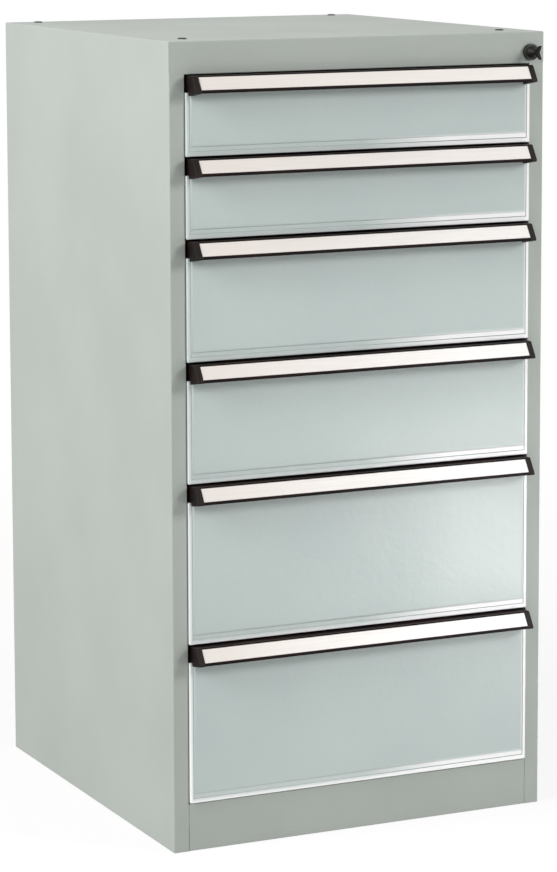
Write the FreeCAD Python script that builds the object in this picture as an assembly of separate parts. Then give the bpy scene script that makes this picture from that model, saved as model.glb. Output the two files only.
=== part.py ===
"""Steel drawer cabinet: six lockable drawers of three heights in a folded sheet carcass.

All sizes are millimetres. +Z is up, the drawers open towards -Y, and +X is the right-hand
side seen from the front. The origin is the middle of the bounding box, on the floor.
"""
import FreeCAD, Part
import math
import os

Vector = FreeCAD.Vector

# Carcass
cabinet_width = 515.0
cabinet_depth = 550.0
top_rail_height = 40.0
base_rail_height = 60.0
small_row = 100.0
medium_row = 150.0
large_row = 200.0
shell_sheet = 1.2
bend_radius = 0.6
seam_gap = 0.4
stile_width = 20.0
stile_return = 15.0
rear_flange = 20.0
foot_flange = 55.0
rail_return = 14.0
base_return = 20.0
stiffener_height = 25.0
floor_flange = 15.0

# Fixing holes in the top and in the feet, with their plugs
hole_side_inset = 38.0
hole_front_inset = 46.0
hole_back_inset = 24.0
hole_radius = 4.5
access_radius = 10.0
plug_head_radius = 5.4
plug_head_rise = 1.6
plug_edge = 0.6
plug_stem_length = 6.0
plug_play = 0.1

# Uprights that carry the runners
post_width = 30.0
post_sheet = 1.5
post_front_inset = 40.0
post_rear_inset = 65.0
slot_pitch = 50.0
slot_height = 12.0
slot_width = 4.0

# Drawer fronts
front_gap = 1.0
row_gap = 2.2
front_proud = 4.4
front_depth = 14.0
front_sheet = 1.2
field_inset = 5.0
field_foot = 6.5
field_rise = 1.2

# Drawer boxes
box_sheet = 1.0
box_floor_gap = 12.0
box_top_gap = 15.0
box_rim = 6.0
box_tail_gap = 7.4
plate_inset = 2.0

# Handle profile, its label strip and its end caps
handle_height = 20.5
handle_top_depth = 11.0
handle_depth = 22.5
handle_lip = 2.8
handle_wall = 2.2
handle_edge = 0.8
cover_reach = 12.0
cover_sheet = 0.8
strip_margin = 1.6
strip_width = 17.8
strip_sheet = 0.8
strip_play = 0.1
strip_lip = 0.2
cap_inset = 2.5
cap_length = 7.8
cap_overhang = 0.4
cap_corner = 2.5
cap_heel = 4.0

# Telescopic runners
runner_space = 13.0
runner_height = 45.0
runner_setback = 12.0
runner_rear_gap = 38.0
runner_sheet = 1.2
runner_play = 0.3
runner_web_play = 0.4
runner_lip_inset = 0.6
middle_web_inset = 5.6

# Central lock: housing, cylinder, key and cam
lock_turn = 90.0
lock_side_inset = 19.0
lock_drop = 25.5
lock_head_lip = 2.9
lock_head_length = 5.0
lock_body_wall = 1.45
lock_hole_play = 0.2
lock_edge = 0.8
cylinder_radius = 6.0
cylinder_play = 0.05
nut_wall = 3.5
nut_length = 4.0
nut_play = 0.05
cam_radius = 8.0
cam_sheet = 2.0
cam_gap = 0.5
cam_bar_gap = 1.5
crank_rise = 8.0
pin_radius = 1.5
pin_play = 0.3
pin_overrun = 0.5
key_blade_sheet = 2.0
key_blade_height = 7.5
key_blade_length = 16.0
key_play = 0.2
key_face_gap = 0.3
key_collar_radius = 7.6
key_neck_radius = 2.4
key_collar_length = 9.0
key_bow_reach = 27.2
key_bow_height = 17.4
key_bow_neck = 4.6
key_bow_sheet = 3.4
key_bow_tip = 3.0
key_bow_notch = 5.5

# Lock bar with one tooth for each drawer, and the drawers' catch tabs
bar_thickness = 3.0
bar_width = 14.0
bar_stile_gap = 4.0
bar_inset = 3.5
bar_foot_gap = 10.0
bar_top = 6.0
tooth_height = 6.0
tooth_reach = 11.0
tooth_runner_gap = 3.5
lock_play = 1.5
tab_height = 10.0
tab_reach = 9.0
tab_sheet = 1.5
tab_gap = 0.8
guide_height = 16.0
guide_wall = 2.5
guide_play = 0.3
guide_rise = 25.0

# Overrun of every cutting solid
overrun = 1.0

# Places worked out from the sizes above
row_heights = [small_row, small_row, medium_row, medium_row, large_row, large_row]
cabinet_height = top_rail_height + sum(row_heights) + base_rail_height
half_width = cabinet_width / 2
opening_half = half_width - stile_width
web_inside = half_width - shell_sheet
handle_reach = front_proud + handle_depth + cap_overhang
half_reach = (cabinet_depth + handle_reach) / 2
front_y = handle_reach - half_reach
back_y = half_reach
face_y = front_y - front_proud
plate_y = face_y + front_depth
top_underside = cabinet_height - shell_sheet
top_rail_bottom = cabinet_height - top_rail_height
back_inside = back_y - 2 * shell_sheet
front_half = opening_half - front_gap
cap_outside = front_half - cap_inset
handle_half = cap_outside - cap_length
box_half = opening_half - runner_space
runner_front = front_y + runner_setback
runner_back = back_y - runner_rear_gap
box_back = runner_back - box_tail_gap
bar_front = front_y + stile_return + bar_stile_gap
lock_body_back = bar_front - cam_bar_gap - cam_sheet - cam_gap
lock_body_radius = cylinder_radius + cylinder_play + lock_body_wall
lock_head_radius = lock_body_radius + lock_head_lip
lock_x = half_width - lock_side_inset
lock_z = cabinet_height - lock_drop
bar_low_x = web_inside - bar_inset - bar_width
hole_x = half_width - hole_side_inset
hole_ys = (front_y + hole_front_inset, back_y - hole_back_inset)
hole_places = [(side * hole_x, y) for side in (-1, 1) for y in hole_ys]


def solid_box(x, y, z):
    """Box between two values along each axis."""
    corner = Vector(min(x), min(y), min(z))
    size = Vector(max(x), max(y), max(z)) - corner
    return Part.makeBox(size.x, size.y, size.z, corner)


def rounded_face(corners, radii):
    """Flat face through the corners, each rounded by its own radius."""
    joints = []
    count = len(corners)
    for index, corner in enumerate(corners):
        towards_last = (corners[index - 1] - corner).normalize()
        towards_next = (corners[(index + 1) % count] - corner).normalize()
        half_angle = towards_last.getAngle(towards_next) / 2
        radius = radii[index]
        reach = radius / math.tan(half_angle)
        bisector = (towards_last + towards_next).normalize()
        middle = corner + bisector * (radius / math.sin(half_angle) - radius)
        joints.append((corner + towards_last * reach, middle, corner + towards_next * reach))
    edges = []
    for index, (start, middle, end) in enumerate(joints):
        if radii[index] > 0:
            edges.append(Part.Arc(start, middle, end).toShape())
        edges.append(Part.LineSegment(end, joints[(index + 1) % count][0]).toShape())
    return Part.Face(Part.Wire(edges))


def folded_sheet(path, sheet, normal):
    """Section of a bent sheet; path is its outer line, and the sheet lies left of it about normal."""
    steps = [(end - start).normalize() for start, end in zip(path, path[1:])]
    lefts = [normal.cross(step) for step in steps]
    inner = [path[0] + lefts[0] * sheet]
    outer_radii = [0]
    inner_radii = [0]
    for index in range(1, len(steps)):
        mitre = lefts[index - 1] + lefts[index]
        share = 1 + lefts[index - 1].dot(lefts[index])
        inner.append(path[index] + mitre * (sheet / share))
        turns_left = normal.dot(steps[index - 1].cross(steps[index])) > 0
        outer_radii.append(bend_radius + sheet if turns_left else bend_radius)
        inner_radii.append(bend_radius if turns_left else bend_radius + sheet)
    inner.append(path[-1] + lefts[-1] * sheet)
    outer_radii.append(0)
    inner_radii.append(0)
    return rounded_face(path + inner[::-1], outer_radii + inner_radii[::-1])


def upright(radius, low, high, x, y):
    """Vertical cylinder at x, y between two heights."""
    return Part.makeCylinder(radius, high - low, Vector(x, y, low), Vector(0, 0, 1))


def shaft(radius, near, far):
    """Cylinder on the lock's axis between two distances along Y."""
    return Part.makeCylinder(radius, far - near, Vector(lock_x, near, lock_z), Vector(0, 1, 0))


def mirrored(shape):
    """The same shape on the other side of the cabinet."""
    return shape.mirror(Vector(0, 0, 0), Vector(1, 0, 0))


def both_sides(shape):
    """A right-hand solid together with its left-hand twin."""
    return Part.makeCompound([shape, mirrored(shape)])


def side_panel():
    """Right side: web, front stile with its return, rear flange and drilled foot flange."""
    path = [
        Vector(opening_half, front_y + stile_return, 0),
        Vector(opening_half, front_y, 0),
        Vector(half_width, front_y, 0),
        Vector(half_width, back_y, 0),
        Vector(half_width - rear_flange, back_y, 0),
    ]
    section = folded_sheet(path, shell_sheet, Vector(0, 0, 1))
    panel = section.extrude(Vector(0, 0, top_underside))
    foot_front = front_y + base_return + seam_gap
    foot = solid_box(
        (half_width - foot_flange, web_inside + shell_sheet / 2),
        (foot_front, back_y - shell_sheet),
        (0, shell_sheet),
    )
    panel = panel.fuse(foot)
    rail_zone = solid_box(
        (opening_half - overrun, web_inside),
        (front_y - overrun, front_y + stile_return + overrun),
        (top_rail_bottom - seam_gap, cabinet_height),
    )
    fascia_zone = solid_box(
        (web_inside - overrun, half_width + overrun),
        (front_y - overrun, front_y + shell_sheet + bend_radius),
        (top_rail_bottom - seam_gap, cabinet_height),
    )
    holes = [upright(hole_radius, -overrun, shell_sheet + overrun, hole_x, y) for y in hole_ys]
    return panel.cut([rail_zone, fascia_zone] + holes).removeSplitter()


def back_panel():
    """Flat back sheet that lies against the rear flanges."""
    half = web_inside - bend_radius - seam_gap
    return solid_box(
        (-half, half),
        (back_inside, back_y - shell_sheet),
        (shell_sheet + seam_gap, top_underside),
    )


def top_panel():
    """Top plate flush with the sides, stiffened at three edges, with four fixing holes."""
    plate = solid_box((-half_width, half_width), (front_y, back_y), (top_underside, cabinet_height))
    low = top_underside - stiffener_height
    high = top_underside + shell_sheet / 2
    side_edge = solid_box(
        (web_inside - shell_sheet, web_inside),
        (front_y + base_return, back_inside - shell_sheet),
        (low, high),
    )
    back_edge = solid_box(
        (-web_inside, web_inside),
        (back_inside - shell_sheet, back_inside),
        (low, high),
    )
    panel = plate.fuse([side_edge, mirrored(side_edge), back_edge])
    holes = [upright(hole_radius, low, cabinet_height + overrun, x, y) for x, y in hole_places]
    return panel.cut(holes).removeSplitter()


def top_rail():
    """Fascia over the full width, turned back at its lower edge and bored for the lock."""
    path = [
        Vector(0, front_y + rail_return, top_rail_bottom),
        Vector(0, front_y, top_rail_bottom),
        Vector(0, front_y, top_underside),
    ]
    section = folded_sheet(path, shell_sheet, Vector(-1, 0, 0))
    rail = section.extrude(Vector(cabinet_width, 0, 0))
    rail.translate(Vector(-half_width, 0, 0))
    web_zone = solid_box(
        (web_inside - seam_gap, half_width + overrun),
        (front_y + shell_sheet, front_y + rail_return + overrun),
        (top_rail_bottom - overrun, cabinet_height),
    )
    hole = shaft(lock_body_radius + lock_hole_play, front_y - overrun, front_y + rail_return)
    return rail.cut([web_zone, mirrored(web_zone), hole]).removeSplitter()


def base_rail():
    """Kick rail between the stiles, turned back at both edges."""
    path = [
        Vector(0, front_y + base_return, 0),
        Vector(0, front_y, 0),
        Vector(0, front_y, base_rail_height),
        Vector(0, front_y + base_return, base_rail_height),
    ]
    section = folded_sheet(path, shell_sheet, Vector(-1, 0, 0))
    half_length = opening_half - seam_gap
    rail = section.extrude(Vector(2 * half_length, 0, 0))
    rail.translate(Vector(-half_length, 0, 0))
    return rail


def bottom_panel():
    """Cabinet floor under the lowest drawer, with its edges turned down and four access holes."""
    top = base_rail_height - shell_sheet
    half = web_inside - seam_gap
    path = [
        Vector(-half, 0, top - floor_flange),
        Vector(-half, 0, top),
        Vector(half, 0, top),
        Vector(half, 0, top - floor_flange),
    ]
    front = front_y + stile_return + seam_gap
    section = folded_sheet(path, shell_sheet, Vector(0, 1, 0))
    panel = section.extrude(Vector(0, back_inside - front, 0))
    panel.translate(Vector(0, front, 0))
    back_edge = solid_box(
        (-half + shell_sheet, half - shell_sheet),
        (back_inside - shell_sheet, back_inside),
        (top - floor_flange, top - shell_sheet / 2),
    )
    holes = [upright(access_radius, 0, top + overrun, x, y) for x, y in hole_places]
    return panel.fuse(back_edge).cut(holes).removeSplitter()


def slotted_post(front):
    """Right-hand channel from the cabinet floor up, open to the side, slotted for the runners."""
    path = [
        Vector(web_inside, front + post_width, 0),
        Vector(opening_half, front + post_width, 0),
        Vector(opening_half, front, 0),
        Vector(web_inside, front, 0),
    ]
    section = folded_sheet(path, post_sheet, Vector(0, 0, 1))
    floor = base_rail_height - shell_sheet
    height = top_underside - stiffener_height - floor
    post = section.extrude(Vector(0, 0, height))
    post.translate(Vector(0, 0, floor))
    middle = front + post_width / 2
    slots = []
    for index in range(1, int(height / slot_pitch)):
        low = floor + index * slot_pitch
        slots.append(solid_box(
            (opening_half - overrun, opening_half + post_sheet + overrun),
            (middle - slot_width / 2, middle + slot_width / 2),
            (low, low + slot_height),
        ))
    return post.cut(slots)


def uprights():
    """Four posts, two on each side."""
    front_post = slotted_post(front_y + post_front_inset)
    rear_post = slotted_post(back_y - post_rear_inset - post_width)
    return Part.makeCompound([front_post, rear_post, mirrored(front_post), mirrored(rear_post)])


def top_plugs():
    """Four low domed plugs in the holes of the top."""
    plugs = []
    for x, y in hole_places:
        head = upright(plug_head_radius, cabinet_height, cabinet_height + plug_head_rise, x, y)
        head = head.makeFillet(plug_edge, [head.Edges[0]])
        stem_low = top_underside - plug_stem_length
        stem = upright(hole_radius - plug_play, stem_low, cabinet_height + plug_edge, x, y)
        plugs.append(head.fuse(stem).removeSplitter())
    return Part.makeCompound(plugs)


def runner_bar(inner, outer, low, high, centre):
    """Right-hand bar of a runner, from inner to outer measured in from the post's face."""
    return solid_box(
        (opening_half - inner, opening_half - outer),
        (runner_front, runner_back),
        (centre + low, centre + high),
    )


def channel(web, reach, half_height, centre):
    """Right-hand channel: web and flanges given by their distances from the post's face."""
    parts = [
        runner_bar(web[0], web[1], -half_height, half_height, centre),
        runner_bar(reach[0], reach[1], -half_height, runner_sheet - half_height, centre),
        runner_bar(reach[0], reach[1], half_height - runner_sheet, half_height, centre),
    ]
    return parts[0].fuse(parts[1:]).removeSplitter()


def outer_member(centre):
    """Cabinet member, fixed to the posts."""
    reach = (0, runner_space - runner_lip_inset)
    return channel((0, runner_sheet), reach, runner_height / 2, centre)


def middle_member(centre):
    """Intermediate member, which runs inside the outer one."""
    web = (middle_web_inset, middle_web_inset + runner_sheet)
    reach = (runner_sheet + runner_web_play, runner_space - runner_sheet - runner_play)
    half_height = runner_height / 2 - runner_sheet - runner_play
    return channel(web, reach, half_height, centre)


def inner_member(centre):
    """Drawer member, fixed to the drawer's side."""
    web = (runner_space - runner_sheet, runner_space)
    reach = (middle_web_inset + runner_sheet + runner_play, runner_space)
    half_height = runner_height / 2 - 2 * (runner_sheet + runner_play)
    return channel(web, reach, half_height, centre)


def box_bottom(bottom):
    """Height of a drawer box's underside, from the bottom of its row."""
    return bottom + box_floor_gap


def runner_centre(bottom):
    """Height of the middle of a row's runners."""
    return box_bottom(bottom) + runner_height / 2


def tooth_low(bottom):
    """Height of the underside of a row's lock tooth, with the lock open."""
    return box_bottom(bottom) + runner_height + tooth_runner_gap


def drawer_wrap(bottom, top):
    """Floor and sides of a drawer box, folded from one sheet with outward rims, with its catch tab."""
    low = box_bottom(bottom)
    rim_low = top - box_top_gap - box_sheet
    path = [
        Vector(-box_half - box_rim, 0, rim_low),
        Vector(-box_half, 0, rim_low),
        Vector(-box_half, 0, low),
        Vector(box_half, 0, low),
        Vector(box_half, 0, rim_low),
        Vector(box_half + box_rim, 0, rim_low),
    ]
    section = folded_sheet(path, box_sheet, Vector(0, -1, 0))
    front = plate_y + box_sheet
    wrap = section.extrude(Vector(0, box_back - front, 0))
    wrap.translate(Vector(0, front, 0))
    tab_low = tooth_low(bottom) + tooth_height + lock_play
    tab_front = bar_front + bar_thickness + tab_gap
    tab = solid_box(
        (box_half - box_sheet / 2, box_half + tab_reach),
        (tab_front, tab_front + tab_sheet),
        (tab_low, tab_low + tab_height),
    )
    return wrap.fuse(tab).removeSplitter()


def drawer_box(bottom, top):
    """Open steel box: the folded wrap, a back sheet between its sides and a wide front plate."""
    plate = solid_box(
        (plate_inset - front_half, front_half - plate_inset),
        (plate_y, plate_y + box_sheet),
        (bottom + row_gap / 2 + plate_inset, top - row_gap / 2 - cover_sheet - plate_inset),
    )
    back = solid_box(
        (box_sheet - box_half, box_half - box_sheet),
        (box_back - box_sheet, box_back),
        (box_bottom(bottom) + box_sheet + bend_radius, top - box_top_gap),
    )
    return Part.makeCompound([drawer_wrap(bottom, top), plate, back])


def front_block(inset, near, far, bottom, top):
    """Block of a drawer front, inset from its outline, between two distances from its face."""
    half = front_half - inset
    edge = row_gap / 2 + inset
    return solid_box((-half, half), (face_y + near, face_y + far), (bottom + edge, top - edge))


def drawer_front(bottom, top):
    """Pressed front pan: turned back all round, its field raised inside a rim, wider at the foot.

    Its upper corners are notched for the handle's end caps.
    """
    field_bottom = bottom + field_foot
    head = top - cover_sheet
    outside = front_block(0, field_rise, front_depth, bottom, head)
    field = front_block(field_inset, 0, front_depth, field_bottom, head)
    inside = front_block(front_sheet, field_rise + front_sheet, front_depth + overrun, bottom, head)
    hollow = front_block(
        field_inset + front_sheet, front_sheet, front_depth + overrun, field_bottom, head
    )
    notch = solid_box(
        (handle_half, front_half + overrun),
        (face_y - overrun, plate_y + overrun),
        (top - row_gap / 2 - handle_height, top),
    )
    return outside.fuse(field).cut([inside, hollow, both_sides(notch)]).removeSplitter()


def profile_point(out, down, top):
    """Point of the handle's section: distance out from the drawer's face and down from its top."""
    return Vector(0, face_y - out, top - down)


def slope_frame(top):
    """Upper corner of the handle's sloped face, its direction down, its outward normal, its length."""
    start = profile_point(handle_top_depth, 0, top)
    end = profile_point(handle_depth, handle_height - handle_lip, top)
    length = (end - start).Length
    along = (end - start).normalize()
    outward = along.cross(Vector(1, 0, 0))
    return start, along, outward, length


def handle_face(top):
    """Section of the handle: a hook open below, a strip recess, and a flange over the drawer's top."""
    start, along, outward, length = slope_frame(top)
    recess = strip_sheet + strip_lip
    first = start + along * strip_margin
    last = start + along * (strip_margin + strip_width + 2 * strip_play)
    inner_start = start - outward * handle_wall
    under_top = (profile_point(0, handle_wall, top).z - inner_start.z) / along.z
    lip_back = profile_point(handle_depth - handle_wall, 0, top).y
    behind_lip = (lip_back - inner_start.y) / along.y
    corners = [
        profile_point(-cover_reach, 0, top),
        start,
        first,
        first - outward * recess,
        last - outward * recess,
        last,
        start + along * length,
        profile_point(handle_depth, handle_height, top),
        profile_point(handle_depth - handle_wall, handle_height, top),
        inner_start + along * behind_lip,
        inner_start + along * under_top,
        profile_point(handle_wall, handle_wall, top),
        profile_point(handle_wall, handle_height, top),
        profile_point(0, handle_height, top),
        profile_point(0, cover_sheet, top),
        profile_point(-cover_reach, cover_sheet, top),
    ]
    radii = [0] * len(corners)
    radii[1] = handle_edge
    radii[6] = handle_edge
    radii[7] = handle_edge
    radii[8] = handle_edge
    return rounded_face(corners, radii)


def handle(top):
    """Extruded grip over the whole drawer front, between its end caps."""
    bar = handle_face(top).extrude(Vector(2 * handle_half, 0, 0))
    bar.translate(Vector(-handle_half, 0, 0))
    return bar


def label_strip(top):
    """Flat strip that slides into the recess of the handle."""
    start, along, outward, length = slope_frame(top)
    floor = start - outward * (strip_sheet + strip_lip)
    first = floor + along * (strip_margin + strip_play)
    last = first + along * strip_width
    rise = outward * strip_sheet
    face = rounded_face([first, last, last + rise, first + rise], [0] * 4)
    strip = face.extrude(Vector(2 * handle_half, 0, 0))
    strip.translate(Vector(-handle_half, 0, 0))
    return strip


def end_caps(top):
    """Moulded caps that close both ends of the handle and fill the notches of the drawer's front.

    Each has a heel on the drawer's face.
    """
    reach = handle_depth + cap_overhang
    corners = [
        profile_point(-cover_reach, 0, top),
        profile_point(handle_top_depth + cap_overhang, 0, top),
        profile_point(reach, handle_height - handle_lip, top),
        profile_point(reach, handle_height, top),
        profile_point(0, handle_height + cap_heel, top),
        profile_point(0, handle_height, top),
        profile_point(-cover_reach, handle_height, top),
    ]
    radii = [0, cap_corner, cap_corner, handle_edge, 0, 0, 0]
    cap = rounded_face(corners, radii).extrude(Vector(cap_length, 0, 0))
    cap.translate(Vector(handle_half, 0, 0))
    return both_sides(cap)


def lock_housing():
    """Round lock body through the top rail, with a stepped head outside."""
    head = shaft(lock_head_radius, front_y - lock_head_length, front_y)
    head = head.makeFillet(lock_edge, [head.Edges[2]])
    body = shaft(lock_body_radius, front_y - lock_edge, lock_body_back)
    bore = shaft(
        cylinder_radius + cylinder_play,
        front_y - lock_head_length - overrun,
        lock_body_back + overrun,
    )
    return head.fuse(body).cut(bore).removeSplitter()


def lock_nut():
    """Hexagon nut that clamps the lock body behind the top rail."""
    radius = lock_body_radius + nut_wall
    near = front_y + shell_sheet
    corners = []
    for index in range(6):
        angle = math.radians(60 * index)
        corners.append(Vector(
            lock_x + radius * math.cos(angle), near, lock_z + radius * math.sin(angle)
        ))
    nut = rounded_face(corners, [0] * 6).extrude(Vector(0, nut_length, 0))
    return nut.cut(shaft(lock_body_radius + nut_play, near - overrun, near + nut_length + overrun))


def lock_cylinder():
    """Turning plug with an upright keyway."""
    near = front_y - lock_head_length
    plug = shaft(cylinder_radius, near, lock_body_back + cam_gap)
    half_slot = key_blade_sheet / 2 + key_play
    half_height = key_blade_height / 2 + key_play
    slot = solid_box(
        (lock_x - half_slot, lock_x + half_slot),
        (near - overrun, near + key_blade_length + key_play),
        (lock_z - half_height, lock_z + half_height),
    )
    return plug.cut(slot)


def pin_place(swing):
    """Centre of the crank pin in X and Z, for the lock turned by swing degrees."""
    crank = crank_rise / 2 / math.sin(math.radians(lock_turn / 2))
    angle = math.radians(swing - lock_turn / 2)
    return lock_x + crank * math.cos(angle), lock_z + crank * math.sin(angle)


def lock_cam():
    """Disc on the inner end of the plug, with a crank pin in the lock bar's slot."""
    near = lock_body_back + cam_gap
    disc = shaft(cam_radius, near, near + cam_sheet)
    x, z = pin_place(0)
    far = bar_front + bar_thickness + pin_overrun
    pin_start = near + cam_sheet / 2
    pin = Part.makeCylinder(pin_radius, far - pin_start, Vector(x, pin_start, z), Vector(0, 1, 0))
    return disc.fuse(pin).removeSplitter()


def key():
    """Flat key with a round collar and a winged bow that stands upright."""
    near = front_y - lock_head_length
    collar_back = near - key_face_gap
    blade = solid_box(
        (lock_x - key_blade_sheet / 2, lock_x + key_blade_sheet / 2),
        (collar_back - key_collar_length / 2, near + key_blade_length),
        (lock_z - key_blade_height / 2, lock_z + key_blade_height / 2),
    )
    collar = Part.makeCone(
        key_collar_radius, key_neck_radius, key_collar_length,
        Vector(lock_x, collar_back, lock_z), Vector(0, -1, 0),
    )
    neck_y = collar_back - key_collar_length / 2
    waist_y = collar_back - key_collar_length
    tip_y = front_y - key_bow_reach
    left = lock_x - key_bow_sheet / 2
    half_neck = key_bow_neck / 2
    half_bow = key_bow_height / 2
    upper = [(neck_y, half_neck), (waist_y, half_neck), (tip_y + key_bow_tip, half_bow), (tip_y, half_bow)]
    lower = [(y, -rise) for y, rise in upper[::-1]]
    outline = upper + [(tip_y + key_bow_notch, 0)] + lower
    corners = [Vector(left, y, lock_z + rise) for y, rise in outline]
    bow = rounded_face(corners, [0] * len(corners)).extrude(Vector(key_bow_sheet, 0, 0))
    return blade.fuse([collar, bow]).removeSplitter()


def lock_bar():
    """Sliding bar behind the right stile: a spine, a slot for the crank pin and a tooth per drawer."""
    span_y = (bar_front, bar_front + bar_thickness)
    pin_x, pin_z = pin_place(0)
    foot = base_rail_height + bar_foot_gap
    spine = solid_box((bar_low_x, bar_low_x + bar_width), span_y, (foot, pin_z + bar_top))
    teeth = []
    for bottom, top in rows:
        low = tooth_low(bottom)
        tip = opening_half - tooth_reach
        teeth.append(solid_box((tip, bar_low_x + overrun), span_y, (low, low + tooth_height)))
    half_slot = pin_radius + pin_play
    slot = solid_box(
        (pin_x - half_slot, pin_place(lock_turn / 2)[0] + half_slot),
        (bar_front - overrun, bar_front + bar_thickness + overrun),
        (pin_z - half_slot, pin_z + half_slot),
    )
    return spine.fuse(teeth).cut(slot).removeSplitter()


def lock_bar_guides():
    """Channels on the right side panel, one in each row, in which the lock bar slides."""
    guides = []
    for bottom, top in rows:
        low = bottom + guide_rise
        near = bar_front - guide_play
        far = bar_front + bar_thickness + guide_play
        block = solid_box(
            (bar_low_x, web_inside), (near - guide_wall, far + guide_wall), (low, low + guide_height)
        )
        slot = solid_box(
            (bar_low_x - overrun, bar_low_x + bar_width + guide_play),
            (near, far),
            (low - overrun, low + guide_height + overrun),
        )
        guides.append(block.cut(slot))
    return Part.makeCompound(guides)


def row_limits():
    """Bottom and top height of each row, from the top row down."""
    limits = []
    top = top_rail_bottom
    for height in row_heights:
        limits.append((top - height, top))
        top -= height
    return limits


def build_parts():
    """Every sub-part by its node name."""
    centres = [runner_centre(bottom) for bottom, top in rows]
    parts = {
        "side_panel_right": side_panel(),
        "side_panel_left": mirrored(side_panel()),
        "back_panel": back_panel(),
        "top_panel": top_panel(),
        "top_rail": top_rail(),
        "base_rail": base_rail(),
        "bottom_panel": bottom_panel(),
        "uprights": uprights(),
        "cabinet_runners": Part.makeCompound([both_sides(outer_member(z)) for z in centres]),
        "top_plugs": top_plugs(),
        "lock_housing": lock_housing(),
        "lock_nut": lock_nut(),
        "lock_cylinder": lock_cylinder(),
        "lock_cam": lock_cam(),
        "key": key(),
        "lock_bar": lock_bar(),
        "lock_bar_guides": lock_bar_guides(),
    }
    for number, (bottom, top) in enumerate(rows, 1):
        handle_top = top - row_gap / 2
        centre = centres[number - 1]
        parts["drawer_%d_box" % number] = drawer_box(bottom, top)
        parts["drawer_%d_front" % number] = drawer_front(bottom, top)
        parts["drawer_%d_handle" % number] = handle(handle_top)
        parts["drawer_%d_label_strip" % number] = label_strip(handle_top)
        parts["drawer_%d_end_caps" % number] = end_caps(handle_top)
        parts["drawer_%d_runners" % number] = both_sides(inner_member(centre))
        parts["mid_runners_%d" % number] = both_sides(middle_member(centre))
    return parts


rows = row_limits()
os.makedirs("parts", exist_ok=True)
for name, shape in build_parts().items():
    shape.exportStep("parts/%s.step" % name)
    print(name, len(shape.Solids), "valid" if shape.isValid() else "NOT VALID", round(shape.Volume))
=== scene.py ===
# Free-standing steel cabinet with six lockable drawers, dressed piece by piece in the order in
# which it is put together. Lengths are metres; MM turns a size in millimetres into metres.
import math

import bmesh
import bpy
import numpy as np
from mathutils import Matrix, Vector


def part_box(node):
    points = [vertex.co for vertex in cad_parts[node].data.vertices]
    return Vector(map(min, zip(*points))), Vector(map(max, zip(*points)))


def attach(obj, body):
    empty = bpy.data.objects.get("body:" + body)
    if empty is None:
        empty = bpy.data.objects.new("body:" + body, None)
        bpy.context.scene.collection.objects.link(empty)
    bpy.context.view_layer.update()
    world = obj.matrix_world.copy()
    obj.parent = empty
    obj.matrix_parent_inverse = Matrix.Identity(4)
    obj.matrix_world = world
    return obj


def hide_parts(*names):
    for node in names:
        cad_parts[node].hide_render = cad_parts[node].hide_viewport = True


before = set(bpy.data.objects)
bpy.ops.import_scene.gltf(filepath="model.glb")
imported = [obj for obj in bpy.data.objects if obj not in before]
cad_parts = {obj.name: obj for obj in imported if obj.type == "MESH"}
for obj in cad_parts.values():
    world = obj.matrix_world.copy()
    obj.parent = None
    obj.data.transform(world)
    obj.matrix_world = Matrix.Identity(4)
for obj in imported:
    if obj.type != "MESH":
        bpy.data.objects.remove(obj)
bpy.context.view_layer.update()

MM = 0.001

# Camera: a long lens from the left of the front, a little above the top, with a small lens shift
# that keeps the upright edges nearly upright.
camera_place = Vector((-1809.0, -3836.2, 1207.1)) * MM
camera_yaw = math.radians(25.378)
camera_pitch = math.radians(7.674)
camera_roll = math.radians(-0.177)
sensor = 36.0
focal_pixels = 3258.6
picture_height = 872
lens_shift = -0.15
view_end = 60.0

ahead = Vector((
    math.sin(camera_yaw) * math.cos(camera_pitch),
    math.cos(camera_yaw) * math.cos(camera_pitch),
    -math.sin(camera_pitch),
))
level_right = ahead.cross(Vector((0, 0, 1))).normalized()
level_up = level_right.cross(ahead)
right = level_right * math.cos(camera_roll) + level_up * math.sin(camera_roll)
up = level_up * math.cos(camera_roll) - level_right * math.sin(camera_roll)
aim = Matrix((right, up, -ahead)).transposed().to_4x4()
lens = bpy.data.cameras.new("camera")
lens.sensor_width = sensor
lens.lens = focal_pixels / picture_height * sensor
lens.shift_y = lens_shift
lens.clip_end = view_end
camera = bpy.data.objects.new("camera", lens)
camera.matrix_world = Matrix.Translation(camera_place) @ aim
bpy.context.scene.collection.objects.link(camera)
bpy.context.scene.camera = camera


# Carcass enamel: a light grey polyester powder coat, baked on folded sheet steel. It is a dull
# satin, with a fine orange peel and faint clouds from the spraying.
def linear(code):
    """Linear colour of an sRGB hex code.

    A channel c becomes c / 12.92 up to 0.04045, and ((c + 0.055) / 1.055) ** 2.4 above it.
    """
    tone = np.array([int(code[at:at + 2], 16) for at in (1, 3, 5)]) / 255
    tone = np.where(tone <= 0.04045, tone / 12.92, ((tone + 0.055) / 1.055) ** 2.4)
    return (*tone.tolist(), 1.0)


def add(tree, kind, inputs=None, **settings):
    """Adds a node with its settings; an input is a value, or another node's output to link."""
    made = tree.nodes.new("ShaderNode" + kind)
    for name, value in settings.items():
        setattr(made, name, value)
    for name, value in (inputs or {}).items():
        if isinstance(value, bpy.types.NodeSocket):
            tree.links.new(value, made.inputs[name])
        else:
            made.inputs[name].default_value = value
    return made.outputs


def material(name, shade):
    """Material whose surface is the shader that shade(tree, place) returns; place is in metres."""
    made = bpy.data.materials.new(name)
    made.use_nodes = True
    tree = made.node_tree
    tree.nodes.clear()
    add(tree, "OutputMaterial", {"Surface": shade(tree, add(tree, "TexCoord")["Object"])})
    return made


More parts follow.
